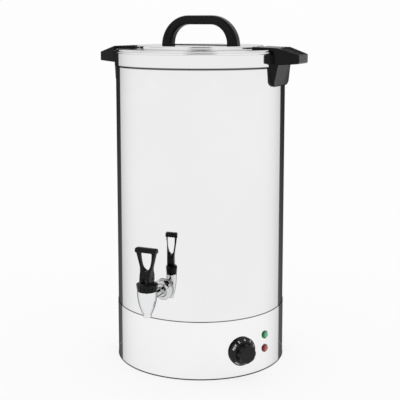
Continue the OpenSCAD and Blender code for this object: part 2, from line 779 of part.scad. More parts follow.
module tap_locknut() {
    color("#cfd1d4") on_round(0, tap_z, nut_at) translate([0, 0, -nut_t])
        rotate([0, 0, 30]) hex_nut(nut_af, nut_t, shank_d / 2);
}

module tap_bonnet() {
    rim = bonnet_d / 2;
    low = rim - 1.6;
    rib_top = bonnet_z - 4.8;                  // the ribs end below a smooth rim
    root = low - 1.2;                          // depth and half width of a gap between ribs
    gap = 0.8;
    color("#1a1a1b") at_spout(0) difference() {
        rotate_extrude() polygon([[0, shoulder_z], [low - 0.3, shoulder_z], [low, shoulder_z + 0.4],
            [rim - 0.1, bonnet_z - 4.2], [rim, bonnet_z - 3.8], [rim, bonnet_z - 2.8],
            [rim - 0.8, bonnet_z - 1.8], [rim - 4.2, bonnet_z], [0, bonnet_z]]);
        for (i = [0:rib_n - 1]) rotate([0, 0, (i + 0.5) * 360 / rib_n])
            translate([root, 0, shoulder_z - cut]) linear_extrude(rib_top - shoulder_z + cut)
                polygon([[0, -gap / 2], [4, -gap], [4, gap], [0, gap / 2]]);
        translate([0, 0, shoulder_z - cut]) cylinder(r = neck_r, h = neck_z + 0.3 - shoulder_z + cut);
        translate([0, 0, neck_z]) cylinder(r = collar_r + 0.8, h = cap_in_z - neck_z);
        translate([0, 0, cap_in_z - cut]) cylinder(r = stem_d / 2 + fit, h = bonnet_roof + 2 * cut);
    }
}

// The stem as a turned shape: a button in the seat cup, the spring collar and the rod.
module stem_turned() {
    rod = stem_d / 2;
    rotate_extrude() polygon([[0, seat_z + 2.2], [rod + 1, seat_z + 2.2], [rod + 1, seat_z + 4.2],
        [rod - 0.6, seat_z + 5], [rod - 0.6, seat_z + 8.5], [rod, seat_z + 8.5],
        [rod, spring_z0 - 2], [collar_r, spring_z0 - 2], [collar_r, spring_z0], [rod, spring_z0],
        [rod, bonnet_z + 0.6], [0, bonnet_z + 0.6]]);
}

module tap_stem() {
    color("#c6c8cb") difference() {
        union() {
            at_spout(0) stem_turned();
            intersection() {
                union() {
                    translate([-eye_w / 2, spout_y, pin_z]) rotate([0, 90, 0]) cylinder(r = eye_r, h = eye_w);
                    translate([-eye_w / 2, spout_y - stem_d / 2 + 0.2, bonnet_z + 0.5])
                        cube([eye_w, stem_d - 0.4, pin_z - bonnet_z]);
                }
                translate([-eye_w / 2, spout_y - 10, bonnet_z + 0.5]) cube([eye_w, 20, 20]);
            }
        }
        translate([-10, spout_y, pin_z]) rotate([0, 90, 0]) cylinder(r = pin_d / 2 + fit, h = 20);
    }
}

module tap_seat_cup() {
    foot = chamber_r - 2.9;
    color("#dcdcd8") at_spout(0) difference() {
        rotate_extrude() polygon([[0, seat_z + small], [foot - 1, seat_z + small], [foot, seat_z + 1],
            [foot - 0.6, seat_z + 5], [foot - 2.4, seat_z + 8.4], [0, seat_z + 8.4]]);
        stem_turned();
    }
}

// The spring stands on the stem's collar, under the bonnet's roof.
module tap_spring() {
    turns = spring_n;
    z0 = spring_z0 + wire_d / 2 + small;
    z1 = cap_in_z - wire_d / 2 - small;
    steps = 14 * turns;
    color("#b4b7ba") at_spout(0) bar([for (i = [0:steps]) let (a = 360 * turns * i / steps)
        [spring_r * cos(a), spring_r * sin(a), z0 + (z1 - z0) * i / steps]], wire_d, 6);
}

// Side profile of the lever's heel, as [y, z] from the pin. Its front is a cam: tilted by an
// angle t, the heel's lowest point lies pin_h + cam_k t below the pin, so that the stem rises
// by cam_k for each radian.
function cam(n) = [for (i = [0:n]) let (t = tilt_max * i / n, p = pin_h + cam_k * t * PI / 180)
    [-p * sin(t) - cam_k * cos(t), -p * cos(t) + cam_k * sin(t)]];

module tap_lever() {
    top = bonnet_z + lever_h - pin_z;          // heights here are above the pin
    bar_w = lever_w / 2;
    bar_z = top - cross_h;
    leg_w = bar_w - 1.6;
    neck = neck_w / 2;
    throat_z = 10.6;
    front = rounded([[-neck, -20], [neck, -20], [neck, throat_z], [leg_w, bar_z - 1.2],
        [bar_w, bar_z + 1], [bar_w, top], [-bar_w, top], [-bar_w, bar_z + 1],
        [-leg_w, bar_z - 1.2], [-neck, throat_z]], [0, 0, 40, 1.2, 2, 3.4, 3.4, 2, 1.2, 40]);
    window_w = leg_w - 7;
    window_z0 = 12.4;
    corner = 1.5;
    side_w = window_w - corner;
    side_z = bar_z - corner;
    window = concat(oval(0, side_z, window_w, side_z - window_z0, 180, 360, 24),
        arc(side_w, side_z, corner, 0, 90, 4), arc(-side_w, side_z, corner, 90, 180, 4));
    heel = cam(12);
    leg = lever_t / 2;
    cross = cross_t / 2;
    leg_z = throat_z + 8;
    side = rounded(concat(heel, [[-neck_t / 2 - 1.4, -pin_h + 4], [-neck_t / 2, throat_z - 4],
        [-lean / 2 - leg, leg_z], [-lean - leg, bar_z - 1.4], [-lean - cross, bar_z + 0.4],
        [-lean - cross, top], [cross - lean, top], [cross - lean, bar_z + 0.4],
        [leg - lean, bar_z - 1.4], [leg - lean / 2, leg_z], [neck_t / 2, throat_z - 4],
        [neck_t / 2, -pin_h + 4], [heel_back, -pin_h]]),
        concat([for (p = heel) 0], [1.4, 8, 8, 1.2, 2.2, 3.2, 3.2, 2.2, 1.2, 8, 8, 3, 1]));
    color("#1a1a1b") translate([0, spout_y, pin_z]) difference() {
        intersection() {
            rotate([90, 0, 0]) translate([0, 0, -20]) linear_extrude(40) polygon(front);
            rotate([90, 0, 90]) translate([0, 0, -30]) linear_extrude(60) polygon(side);
        }
        rotate([90, 0, 0]) translate([0, 0, -20]) linear_extrude(40) polygon(window);
        translate([-slot_w / 2, -20, -20]) cube([slot_w, 20 + eye_r, 20 + 1.1]);
        translate([-slot_w / 2, 0, 0]) rotate([0, 90, 0]) cylinder(r = eye_r + 0.8, h = slot_w);
        translate([-20, 0, 0]) rotate([0, 90, 0]) cylinder(d = pin_d, h = 40);
    }
}

module tap_pin() {
    color("#c6c8cb") translate([-neck_w / 2 + pin_inset, spout_y, pin_z]) rotate([0, 90, 0])
        cylinder(d = pin_d, h = neck_w - 2 * pin_inset);
}

// ---------------------------------------------------------------- side handles

// Everything on the tank that a handle has to clear.
module handle_cutter() {
    translate([0, 0, leg_z0 - 10]) cylinder(r = R, h = 200);
    translate([0, 0, collar_z - joggle_h]) cylinder(r = Rc, h = 200);
    translate([0, 0, block_z1]) cylinder(r = riser_in, h = 200);
}

module side_handle() {
    half = block_w / 2;
    leg_top = half - 8;
    leg_low = half - 19;
    outline = rounded([[-leg_low, leg_z0], [leg_low, leg_z0], [leg_top, block_z0 - 2],
        [half, block_z0], [half, block_z1], [-half, block_z1], [-half, block_z0],
        [-leg_top, block_z0 - 2]], [12, 12, 2, 3.5, 2.5, 2.5, 3.5, 2]);
    flat = 31;                                 // half width of the leg's flat face
    low = R + 1.8;                             // the face at its foot and under the block
    high = R + 8.2;
    bevel = 30;                                // how far the bevels beside the face run
    face = rounded([[R - 60, leg_z0], [low, leg_z0], [high, block_z0],
        [high, block_z1], [R - 60, block_z1]], [0, 3, 0, 0, 0]);
    edges = rounded([[R - 60, -flat - bevel], [high - bevel, -flat - bevel], [high, -flat],
        [high, flat], [high - bevel, flat + bevel], [R - 60, flat + bevel]], [0, 0, 5, 5, 0, 0]);
    root = grip_root_w / 2;
    plan = rounded([[R - 10, -root], [riser_in, -root], [grip_x, -grip_w / 2],
        [grip_x, grip_w / 2], [riser_in, root], [R - 10, root]], [0, 4, 4.5, 4.5, 4, 0]);
    side = rounded([[R - 10, block_z0], [R + 6, block_z0 - 3], [grip_x, grip_z0],
        [grip_x, grip_z1], [riser_in, slope_z], [R - 10, slope_z]], [0, 3, 4, 2, 0, 0]);
    difference() {
        union() {
            intersection() {
                rotate([90, 0, 90]) translate([0, 0, R - 60]) linear_extrude(80) polygon(outline);
                union() {
                    intersection() {
                        rotate([90, 0, 0]) translate([0, 0, -60]) linear_extrude(120) polygon(face);
                        translate([0, 0, leg_z0]) linear_extrude(leg_h) polygon(edges);
                    }
                    translate([0, 0, block_z0]) cylinder(r = R + 7, h = block_z1 - block_z0, $fn = 360);
                }
            }
            intersection() {
                translate([0, 0, block_z0 - 20]) linear_extrude(80) polygon(plan);
                rotate([90, 0, 0]) translate([0, 0, -60]) linear_extrude(120) polygon(side);
            }
        }
        handle_cutter();
        grip_pockets();
    }
}

// The grip is moulded hollow from below, with two ribs left between three pockets.
module grip_pockets() {
    wall = 3.6;
    x0 = R + 16;
    x1 = grip_x - wall - 1;
    w0 = grip_root_w / 2 - 9;
    w1 = grip_w / 2 - wall - 0.5;
    rib = 2.4;
    for (s = [-1, 1]) translate([0, 0, block_z0 - 20]) linear_extrude(grip_z1 - wall - block_z0 + 20)
        polygon([[x0, s * (w1 / 3 + rib)], [x1, s * (w1 / 3 + rib)], [x1, s * w1], [x0, s * w0]]);
    translate([x0, -w1 / 3, block_z0 - 20]) cube([x1 - x0, 2 * w1 / 3, grip_z1 - wall - block_z0 + 20]);
}

module insert_holes() {
    handle_screw_places(Rc) translate([0, 0, -cut]) cylinder(r = insert_r, h = insert_len + cut);
}

module side_handle_right() {
    color("#1a1a1b") difference() {
        side_handle();
        insert_holes();
    }
}

module side_handle_left() {
    color("#1a1a1b") difference() {
        rotate([0, 0, 180]) side_handle();
        insert_holes();
    }
}

module handle_inserts() {
    color("#c9a227") difference() {
        handle_screw_places(Rc) translate([0, 0, small]) tube(insert_r, m5 / 2, 0, insert_len - small);
        translate([0, 0, collar_z]) cylinder(r = Rc, h = collar_h);
    }
}

module handle_washers() {
    color("#c8c9ca") handle_screw_places(Rc - wall_t - 0.13) tube(6, m5 / 2, -washer_t, 0);
}

module handle_screws() {
    grip = wall_t + 0.13 + washer_t;
    color("#c8c9ca") handle_screw_places(Rc - grip) screw(m5, grip + insert_len - 1.5, 4.4, 2.6);
}

// ---------------------------------------------------------------- lid

module lid_screw_places() {
    for (x = [-1, 1]) translate([x * foot_x, 0, 0]) children();
}

module rivet_places() {
    x = sqrt(rivet_at * rivet_at - rivet_y * rivet_y);
    for (a = [-1, 1], b = [-1, 1]) translate([a * x, b * rivet_y, 0]) children();
}

// Half outline of the lid's upper face, from the axis out to its edge.
function lid_top() = concat([[0, top_z]],
    arc(plateau_r - top_round, top_z - top_round, top_round, 90, 0, 5),
    arc(plateau_r + foot_round, lid_z + foot_round, foot_round, 180, 270, 5),
    arc(lid_r - 1.6, lid_z - 1.6, 1.6, 90, 0, 5));
// The same sheet from below, one thickness further in.
function lid_under() = let (t = lid_t) concat([[lid_r, hem_z], [lid_r - 2 * t, hem_z],
    [lid_r - 2 * t, lid_z - t], [plateau_r + foot_round, lid_z - t]],
    arc(plateau_r + foot_round, lid_z + foot_round, foot_round + t, 265, 185, 5),
    arc(plateau_r - top_round, top_z - top_round, top_round - t, 0, 90, 5), [[0, top_z - t]]);

module lid() {
    color("#e4e5e6") difference() {
        rotate_extrude($fn = 96) polygon(concat(lid_top(), lid_under()));
        lid_screw_places() translate([0, 0, lid_z - 5]) cylinder(d = m5 + 0.4, h = 20);
        rivet_places() translate([0, 0, lid_z - 5]) cylinder(r = rivet_r, h = 10);
        translate([0, plateau_r * 0.62, lid_z - 5]) cylinder(d = vent_d, h = 20);
    }
}

module lid_skirt() {
    t = lid_t;
    z1 = lid_z - lid_t;
    color("#d4d6d8") rotate_extrude() polygon([[skirt_r, skirt_z], [skirt_r, z1 - t],
        [skirt_edge, z1 - t], [skirt_edge, z1], [skirt_r - t, z1], [skirt_r - t, skirt_z]]);
}

module lid_lugs() {
    z0 = lid_z;
    color("#1a1a1b") difference() {
        for (side = [0, 180]) rotate([0, 0, side]) intersection() {
            rotate_extrude() polygon([[lug_in, z0], [lid_r + 0.4, z0], [lid_r + 0.4, z0 - 2.2],
                [lug_out - 0.5, z0 - 2.2], [lug_out, z0 - 1.7], [lug_out, z0 + lug_h - lug_drop],
                [lug_in + 1, z0 + lug_h], [lug_in, z0 + lug_h - 1]]);
            translate([0, 0, z0 - 10]) linear_extrude(20)
                polygon([[lug_in - 20, -lug_w / 2], [lug_out + 20, -lug_w / 2],
                    [lug_out + 20, lug_w / 2], [lug_in - 20, lug_w / 2]]);
        }
        rivet_places() translate([0, 0, z0 - cut]) cylinder(r = rivet_r, h = 3.4 + cut);
    }
}

module lid_lug_rivets() {
    color("#c8c9ca") rivet_places() translate([0, 0, lid_z - lid_t])
        screw(2 * rivet_r, lid_t + 3.2, 3.6, 1.2);
}

// A point of the arch's middle line: two elliptical shoulders and a level top between them.
function arch(n) = let (rx = handle_w / 2 - flat_out - foot_w / 2, ry = handle_h - bar_t / 2,
        x0 = flat_out, z0 = top_z)
    concat([for (i = [0:n]) let (a = 90 * i / n) [-x0 - rx * cos(a), z0 + ry * sin(a)]],
        [for (i = [0:n]) let (a = 90 * (1 - i / n)) [x0 + rx * cos(a), z0 + ry * sin(a)]]);

// The handle is one rounded section swept along the arch. It is wider at the feet.
module lid_handle() {
    path = arch(12);
    m = len(path) - 1;
    edge = 4.5;                                // radius of the section's edges
    y = bar_d / 2;
    points = [for (i = [0:m])
        let (d = path[min(m, i + 1)] - path[max(0, i - 1)],
             t = i == 0 ? [0, 1] : i == m ? [0, -1] : unit(d),
             rise = (path[i][1] - top_z) / (handle_h - bar_t / 2),
             x = (foot_w + (bar_t - foot_w) * rise) / 2, n = [t[1], -t[0]])
        for (q = rounded([[x, -y], [x, y], [-x, y], [-x, -y]], [edge, edge, edge, edge], 4))
            [path[i][0] + q[0] * n[0], q[1], path[i][1] + q[0] * n[1]]];
    side_n = len(points) / (m + 1);
    color("#1a1a1b") difference() {
        union() {
            polyhedron(points = points, faces = concat(
                [for (i = [0:m - 1]) for (k = [0:side_n - 1]) let (n = (k + 1) % side_n)
                    each [[i * side_n + k, (i + 1) * side_n + n, i * side_n + n],
                          [i * side_n + k, (i + 1) * side_n + k, (i + 1) * side_n + n]]],
                [[for (k = [0:side_n - 1]) k], [for (k = [side_n - 1:-1:0]) m * side_n + k]]));
            translate([-foot_x, -y + edge, top_z]) cube([2 * foot_x, 2 * (y - edge), web_t]);
        }
        lid_screw_places() translate([0, 0, top_z - cut]) cylinder(d = m5, h = screw_depth + cut);
    }
}

module lid_handle_washers() {
    seat = top_z - lid_t - small;
    color("#c8c9ca") lid_screw_places() tube(7, m5 / 2, seat - washer_t, seat);
}

module lid_handle_screws() {
    grip = lid_t + washer_t + small;
    color("#c8c9ca") lid_screw_places() translate([0, 0, top_z - grip])
        screw(m5, grip + screw_depth - 1, 4.6, 2.8);
}

// ---------------------------------------------------------------- output

base_ring();
bottom_cover();
bottom_cover_screws();
base_shell();
tank_wall();
tank_floor();
heat_plate();
heating_element();
element_terminals();
sensor_bulb();
bulb_clip();
bulb_clip_screws();
capillary_tube();
thermal_cutout();
cutout_screws();
thermostat();
thermostat_screws();
thermostat_shaft();
knob();
lamp_green();
lamp_red();
lamp_holders();
lamp_clips();
terminal_block();
terminal_block_screws();
earth_stud();
earth_nuts();
cable_gland();
gland_nut();
tap_body();
tap_flange();
tap_outer_washer();
tap_inner_washer();
tap_locknut();
tap_bonnet();
tap_stem();
tap_seat_cup();
tap_spring();
tap_lever();
tap_pin();
side_handle_right();
side_handle_left();
handle_inserts();
handle_screws();
handle_washers();
lid();
lid_skirt();
lid_lugs();
lid_lug_rivets();
lid_handle();
lid_handle_screws();
lid_handle_washers();
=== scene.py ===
import json
import math
from functools import cached_property

import bmesh
import bpy
from mathutils import Matrix, Vector


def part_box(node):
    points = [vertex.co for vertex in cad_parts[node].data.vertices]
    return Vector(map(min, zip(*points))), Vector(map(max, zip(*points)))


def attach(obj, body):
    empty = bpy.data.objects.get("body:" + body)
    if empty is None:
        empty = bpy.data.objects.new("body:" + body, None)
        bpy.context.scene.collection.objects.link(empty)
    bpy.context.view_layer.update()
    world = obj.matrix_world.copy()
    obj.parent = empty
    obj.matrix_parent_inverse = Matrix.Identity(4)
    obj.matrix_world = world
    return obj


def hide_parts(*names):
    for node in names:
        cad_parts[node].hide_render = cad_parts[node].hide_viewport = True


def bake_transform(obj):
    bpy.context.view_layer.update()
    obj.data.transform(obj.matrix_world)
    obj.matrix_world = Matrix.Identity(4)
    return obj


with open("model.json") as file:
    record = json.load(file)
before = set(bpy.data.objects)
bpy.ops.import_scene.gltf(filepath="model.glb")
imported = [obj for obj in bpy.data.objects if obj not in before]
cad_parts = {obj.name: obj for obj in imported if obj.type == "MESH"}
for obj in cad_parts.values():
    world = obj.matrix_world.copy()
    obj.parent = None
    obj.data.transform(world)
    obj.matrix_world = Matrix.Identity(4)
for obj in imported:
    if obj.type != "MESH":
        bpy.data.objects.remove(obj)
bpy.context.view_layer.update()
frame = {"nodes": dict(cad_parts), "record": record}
NODES = frame["nodes"]
WHITE = (1, 1, 1, 1)
BLACK = (0, 0, 0, 1)

# ------------------------------------------------------------------ camera
# The camera's pose and lens, fitted to the outline of the body and to its base and rim. The
# photograph's uprights are almost parallel, which a shifted lens gives. Part of that shift is
# turned into pitch here, so that a view from another side still holds the whole urn.
CAM_AZIMUTH = math.radians(24.742)    # from -Y towards +X
CAM_DISTANCE = 1.6340                 # from the urn's axis, on the level
CAM_HEIGHT = 0.6062
CAM_PITCH = math.radians(-7.9)
CAM_CLIP = (0.01, 30.0)
FRAME_PX = 400.0                      # the photograph's width and height
FOCAL_PX = 916.3
CENTRE_PX = (200.54, 146.4)           # where the lens's axis meets the photograph
SENSOR = 36.0                         # in millimetres, as Blender has it


def make_camera():
    data = bpy.data.cameras.new("camera")
    cam = bpy.data.objects.new("camera", data)
    bpy.context.scene.collection.objects.link(cam)
    cam.location = (CAM_DISTANCE * math.sin(CAM_AZIMUTH),
                    -CAM_DISTANCE * math.cos(CAM_AZIMUTH), CAM_HEIGHT)
    cam.rotation_euler = (math.radians(90) + CAM_PITCH, 0.0, CAM_AZIMUTH)
    data.sensor_width = SENSOR
    data.lens = FOCAL_PX * SENSOR / FRAME_PX
    data.shift_x = -(CENTRE_PX[0] - FRAME_PX / 2) / FRAME_PX
    data.shift_y = (CENTRE_PX[1] - FRAME_PX / 2) / FRAME_PX
    data.clip_start, data.clip_end = CAM_CLIP
    bpy.context.scene.camera = cam


# ------------------------------------------------------------------ node helpers
MIX_FACTOR, MIX_A, MIX_B = 0, 6, 7    # the inputs of a Mix node that mixes colours
MIX_RESULT = 2                        # and its output
NOISE_SPAN = (0.3, 0.7)               # where most of a noise's values lie
BAND_CORE = 0.4                       # the share of a band's half width that is evenly dark
# How far a face is from the axis, times how squarely it faces outwards: where it counts as the
# inside of the vessel, and where it no longer does.
INWARDS = (-0.03, -0.01)


class Maths:
    """Short calls for number nodes in a tree."""

    def __init__(self, tree):
        self.tree = tree

    def feed(self, socket, value):
        """Give a socket a number, three numbers or another node's output."""
        if isinstance(value, bpy.types.NodeSocket):
            self.tree.links.new(value, socket)
        else:
            socket.default_value = value

    def __call__(self, kind, *args):
        n = self.tree.nodes.new("ShaderNodeMath")
        n.operation = kind
        for socket, value in zip(n.inputs, args):
            self.feed(socket, value)
        return n.outputs[0]

    def ramp(self, value, start, end, low=0.0, high=1.0, kind="SMOOTHSTEP"):
        """low at start, high at end, smooth between them."""
        n = self.tree.nodes.new("ShaderNodeMapRange")
        n.interpolation_type = kind
        for k, v in (("From Min", start), ("From Max", end), ("To Min", low), ("To Max", high)):
            n.inputs[k].default_value = v
        self.feed(n.inputs["Value"], value)
        return n.outputs["Result"]

    def height(self, place):
        n = self.tree.nodes.new("ShaderNodeSeparateXYZ")
        self.feed(n.inputs[0], place)
        return n.outputs["Z"]

    def along(self, way, axis):
        """How far way goes along axis."""
        n = self.tree.nodes.new("ShaderNodeVectorMath")
        n.operation = "DOT_PRODUCT"
        self.feed(n.inputs[0], way)
        self.feed(n.inputs[1], axis)
        return n.outputs["Value"]

    def choose(self, base, *cases):
        """base, or the amount of the case whose flag is 1."""
        total = base
        for flag, amount in cases:
            total = self("ADD", total, self("MULTIPLY", flag, self("SUBTRACT", amount, base)))
        return total


class Tree:
    """A material being built: a shader and short calls that add nodes and links."""

    def __init__(self, name):
        self.mat = bpy.data.materials.new(name)
        self.mat.use_nodes = True
        self.tree = self.mat.node_tree
        self.shader = self.tree.nodes["Principled BSDF"]
        self.maths = Maths(self.tree)

    def node(self, kind, **values):
        n = self.tree.nodes.new(kind)
        for k, v in values.items():
            if k in n.inputs:
                n.inputs[k].default_value = v
            else:
                setattr(n, k, v)
        return n

    def link(self, a, b):
        self.tree.links.new(a, b)

    def set(self, **values):
        for k, v in values.items():
            self.shader.inputs[k.replace("_", " ")].default_value = v

    def drive(self, name, value):
        self.link(value, self.shader.inputs[name])

    @cached_property
    def at_rest(self):
        """Places on the piece, in the shared frame, as it stands at rest."""
        return self.node("ShaderNodeTexCoord").outputs["Object"]

    def noise(self, scale, detail, stretch=(1, 1, 1), rough=0.5):
        place = self.node("ShaderNodeMapping", Scale=stretch)
        self.link(self.at_rest, place.inputs["Vector"])
        n = self.node("ShaderNodeTexNoise", Scale=scale, Detail=detail, Roughness=rough)
        self.link(place.outputs["Vector"], n.inputs["Vector"])
        return n.outputs["Fac"]

    def spread(self, value, low, high, start=NOISE_SPAN[0], end=NOISE_SPAN[1]):
        """value mapped evenly from start..end to low..high."""
        return self.maths.ramp(value, start, end, low, high, "LINEAR")

    def mix(self, value, a, b):
        m = self.node("ShaderNodeMix", data_type="RGBA")
        m.inputs[MIX_A].default_value = (*a, 1)
        m.inputs[MIX_B].default_value = (*b, 1)
        self.link(value, m.inputs[MIX_FACTOR])
        return m.outputs[MIX_RESULT]

    def tones(self, scale, detail, dark, light):
        """A slow change of colour."""
        return self.mix(self.spread(self.noise(scale, detail), 0, 1), dark, light)

    def band(self, height, half):
        """1 at a height above the floor, falling to 0 at half above and below it."""
        off = self.maths("SUBTRACT", self.maths.height(self.at_rest), height)
        return self.spread(self.maths("ABSOLUTE", off), 1, 0, BAND_CORE * half, half)

    def shade(self, colour, value, depth):
        """colour, darkened by depth where value is 1."""
        m = self.node("ShaderNodeMix", data_type="RGBA", blend_type="MULTIPLY")
        self.link(self.spread(value, 0, depth, 0, 1), m.inputs[MIX_FACTOR])
        self.link(colour, m.inputs[MIX_A])
        m.inputs[MIX_B].default_value = BLACK
        return m.outputs[MIX_RESULT]

    def bump(self, value, strength, distance):
        b = self.node("ShaderNodeBump", Strength=strength, Distance=distance)
        self.link(value, b.inputs["Height"])
        self.drive("Normal", b.outputs["Normal"])

    def inside(self):
        """1 on faces that look towards the urn's axis, 0 elsewhere."""
        flat = self.node("ShaderNodeVectorMath", operation="MULTIPLY")
        self.link(self.at_rest, flat.inputs[0])
        flat.inputs[1].default_value = (1, 1, 0)
        normal = self.node("ShaderNodeNewGeometry").outputs["Normal"]
        return self.spread(self.maths.along(flat.outputs["Vector"], normal), 1, 0, *INWARDS)


# ------------------------------------------------------------------ materials
# The noises: how fine each is, and its detail.
METAL_TONE = (6.0, 2.0)
METAL_GRAIN_DETAIL, METAL_GRAIN_ROUGH = 4.0, 0.6
PLASTIC_TONE = (14.0, 3.0)
PLASTIC_SHEEN = (40.0, 3.0)
PEBBLE_DETAIL = 2.0
LENS_RIPPLE = (220.0, 2.0)
# How strong and how deep the bumps are.
GRAIN_DEPTH = 0.0002
RIPPLE_STRENGTH, RIPPLE_DEPTH = 0.2, 0.0003
LENS_ROUGH = 0.14
LENS_RIM_SHADE = (0.62, 0.95)              # where the painted rim shade starts and is full, from the middle


def metal(name, dark, light, rough, grain=(1, 1, 1), grain_scale=60.0, bump=0.0, edge=1.0,
          shade_bands=(), lining=None):
    """Metal with a directional grain in its roughness and a slow change of tone. edge is the tint
    of what it reflects at a flat angle. Each band of painted shade is a dark line round the metal
    at a set height, along a seam or step. lining is how metallic the inside of the vessel is, and
    how much duller."""
    t = Tree(name)
    t.set(Metallic=1.0, Specular_Tint=(edge, edge, edge, 1))
    tone = t.tones(*METAL_TONE, dark, light)
    # Painted shade: each band darkens the tone round the metal at its height.
    for height, half, depth in shade_bands:
        tone = t.shade(tone, t.band(height, half), depth)
    t.drive("Base Color", tone)
    fine = t.noise(grain_scale, METAL_GRAIN_DETAIL, grain, METAL_GRAIN_ROUGH)
    gloss = t.spread(fine, *rough)
    if lining:
        metallic, duller = lining
        inside = t.inside()
        t.drive("Metallic", t.spread(inside, 1, metallic, 0, 1))
        gloss = t.maths("ADD", gloss, t.spread(inside, 0, duller, 0, 1))
    t.drive("Roughness", gloss)
    if bump:
        t.bump(fine, bump, GRAIN_DEPTH)
    return t.mat


def moulded(name, dark, light, rough, pebble=900.0, bump=0.12, gloss=0.5):
    """Moulded plastic: a fine pebble grain, slight changes of tone and of gloss."""
    t = Tree(name)
    t.set(Specular_IOR_Level=gloss)
    t.drive("Base Color", t.tones(*PLASTIC_TONE, dark, light))
    t.drive("Roughness", t.spread(t.noise(*PLASTIC_SHEEN), *rough))
    t.bump(t.noise(pebble, PEBBLE_DETAIL), bump, GRAIN_DEPTH)
    return t.mat


def lens(name, colour, deep, node):
    """A lamp's lens: clear in the middle of the dome, with painted shade that deepens its colour
    towards the edge.
    """
    t = Tree(name)
    t.set(Roughness=LENS_ROUGH)
    low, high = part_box(node)
    half = (high[2] - low[2]) / 2
    off = t.node("ShaderNodeVectorMath", operation="DISTANCE")
    t.link(t.at_rest, off.inputs[0])
    off.inputs[1].default_value = [(a + b) / 2 for a, b in zip(low, high)]
    # Painted shade: the colour deepens towards the rim of the dome.
    edge = t.spread(off.outputs["Value"], 0, 1, *(share * half for share in LENS_RIM_SHADE))
    t.drive("Base Color", t.mix(edge, colour, deep))
    t.bump(t.noise(*LENS_RIPPLE), RIPPLE_STRENGTH, RIPPLE_DEPTH)
    return t.mat


def grey(v):
    return (v, v, v)


# The metals' painted shade along seams and steps: height above the floor, half the width, and
# depth of tone.
SEAM_SHADE = (0.1018, 0.0011, 0.8)          # the joint of the tank's wall and the base shell: a dark joint line, partly painted shade
CREASE_SHADE = (0.5256, 0.0024, 0.92)       # painted shade at the step under the collar
DRAWN = {"grain": (1, 1, 0.02), "grain_scale": 300.0}    # sheet with its grain upright

MATERIALS = {
    "polished_steel": metal("polished_steel", grey(0.855), grey(0.885), (0.03, 0.06), **DRAWN,
                            edge=0.44, shade_bands=(SEAM_SHADE, CREASE_SHADE), lining=(0.25, 0.4)),
    "satin_steel": metal("satin_steel", grey(0.82), grey(0.87), (0.06, 0.12),
                         grain_scale=200.0, edge=0.6),
    "plated_tap": metal("plated_tap", (0.77, 0.78, 0.79), (0.84, 0.85, 0.86), (0.03, 0.06),
                        edge=0.0),
    "plain_steel": metal("plain_steel", (0.55, 0.56, 0.57), (0.66, 0.67, 0.68), (0.30, 0.42)),
    "zinc_steel": metal("zinc_steel", (0.66, 0.67, 0.68), (0.76, 0.77, 0.79), (0.24, 0.34)),
    "spring_steel": metal("spring_steel", (0.46, 0.47, 0.49), (0.58, 0.59, 0.61), (0.22, 0.32)),
    "heat_aluminium": metal("heat_aluminium", (0.68, 0.69, 0.70), (0.78, 0.79, 0.80),
                            (0.38, 0.52), bump=0.2),
    "copper_parts": metal("copper_parts", (0.60, 0.34, 0.22), (0.76, 0.46, 0.32), (0.24, 0.38)),
    "brass_parts": metal("brass_parts", (0.66, 0.52, 0.24), (0.80, 0.65, 0.34), (0.22, 0.34)),
    "black_handle": moulded("black_handle", grey(0.005), grey(0.009), (0.22, 0.30),
                            bump=0.06, gloss=0.12),
    "black_tap": moulded("black_tap", grey(0.004), grey(0.008), (0.18, 0.26),
                         bump=0.05, gloss=0.14),
    "black_knob": moulded("black_knob", grey(0.010), grey(0.016), (0.20, 0.28),
                          bump=0.05, gloss=0.18),
    "black_base": moulded("black_base", grey(0.016), grey(0.026), (0.50, 0.62)),
    "black_gland": moulded("black_gland", grey(0.014), grey(0.024), (0.45, 0.58)),
    "dark_control": moulded("dark_control", grey(0.030), grey(0.045), (0.45, 0.60)),
    "pale_control": moulded("pale_control", (0.70, 0.67, 0.58), (0.80, 0.77, 0.69),
                            (0.40, 0.55)),
    "white_ceramic": moulded("white_ceramic", (0.78, 0.75, 0.68), (0.86, 0.84, 0.78),
                             (0.25, 0.40), pebble=200.0),
    "white_seal": moulded("white_seal", grey(0.66), grey(0.76), (0.45, 0.60), pebble=500.0),
    "green_lens": lens("green_lens", (0.13, 0.56, 0.28), (0.02, 0.12, 0.045), "lamp_green"),
    "red_lens": lens("red_lens", (0.54, 0.12, 0.12), (0.10, 0.012, 0.012), "lamp_red"),
}
# Two pieces stand out from their slot with painted light: the skirt's steel is painted a little
# brighter than the tank, making up for the shade it mirrors, and the tap's flange is painted
# greyer than the tap, a painted darker reflection.
PAINTED_LIGHT_LOOKS = {
    "base_shell": metal("skirt_steel_painted_light", grey(0.905), grey(0.93), (0.03, 0.06), **DRAWN,
                        edge=0.5, shade_bands=(SEAM_SHADE,)),
    "tap_flange": metal("plated_flange_painted_shade", grey(0.60), grey(0.68), (0.05, 0.09), edge=0.0),
}


def dress_parts():
    for part in frame["record"]["subparts"]:
        obj = NODES[part["node"]]
        obj.data.materials.clear()
        # The skirt and the tap's flange take copies of their metal with painted light and shade.
        obj.data.materials.append(PAINTED_LIGHT_LOOKS.get(part["node"], MATERIALS[part["material_slot"]]))


# ------------------------------------------------------------------ dial figures
# White figures on the slope of the dial, clockwise from the top, with their tops outwards.
DIAL_MARKS = (("MAX", -57), ("5", -26), ("4", 4), ("3", 35), ("2", 66), ("1", 97), ("OFF", 217))
DIAL_SLOPE = ((0.0242, 0.0039),       # radius and height above the shell, at the slope's foot
              (0.0190, 0.0095))       # and at its top
DIAL_AT = 0.54                        # how far up the slope the figures stand
FIGURE_SIZE = 0.0060
WORD_SIZE = 0.0050
FIGURE_WEIGHT = 0.0002
FIGURE_RAISE = 0.00006
FIGURE_CURVE = 4                      # steps in each curve of a figure


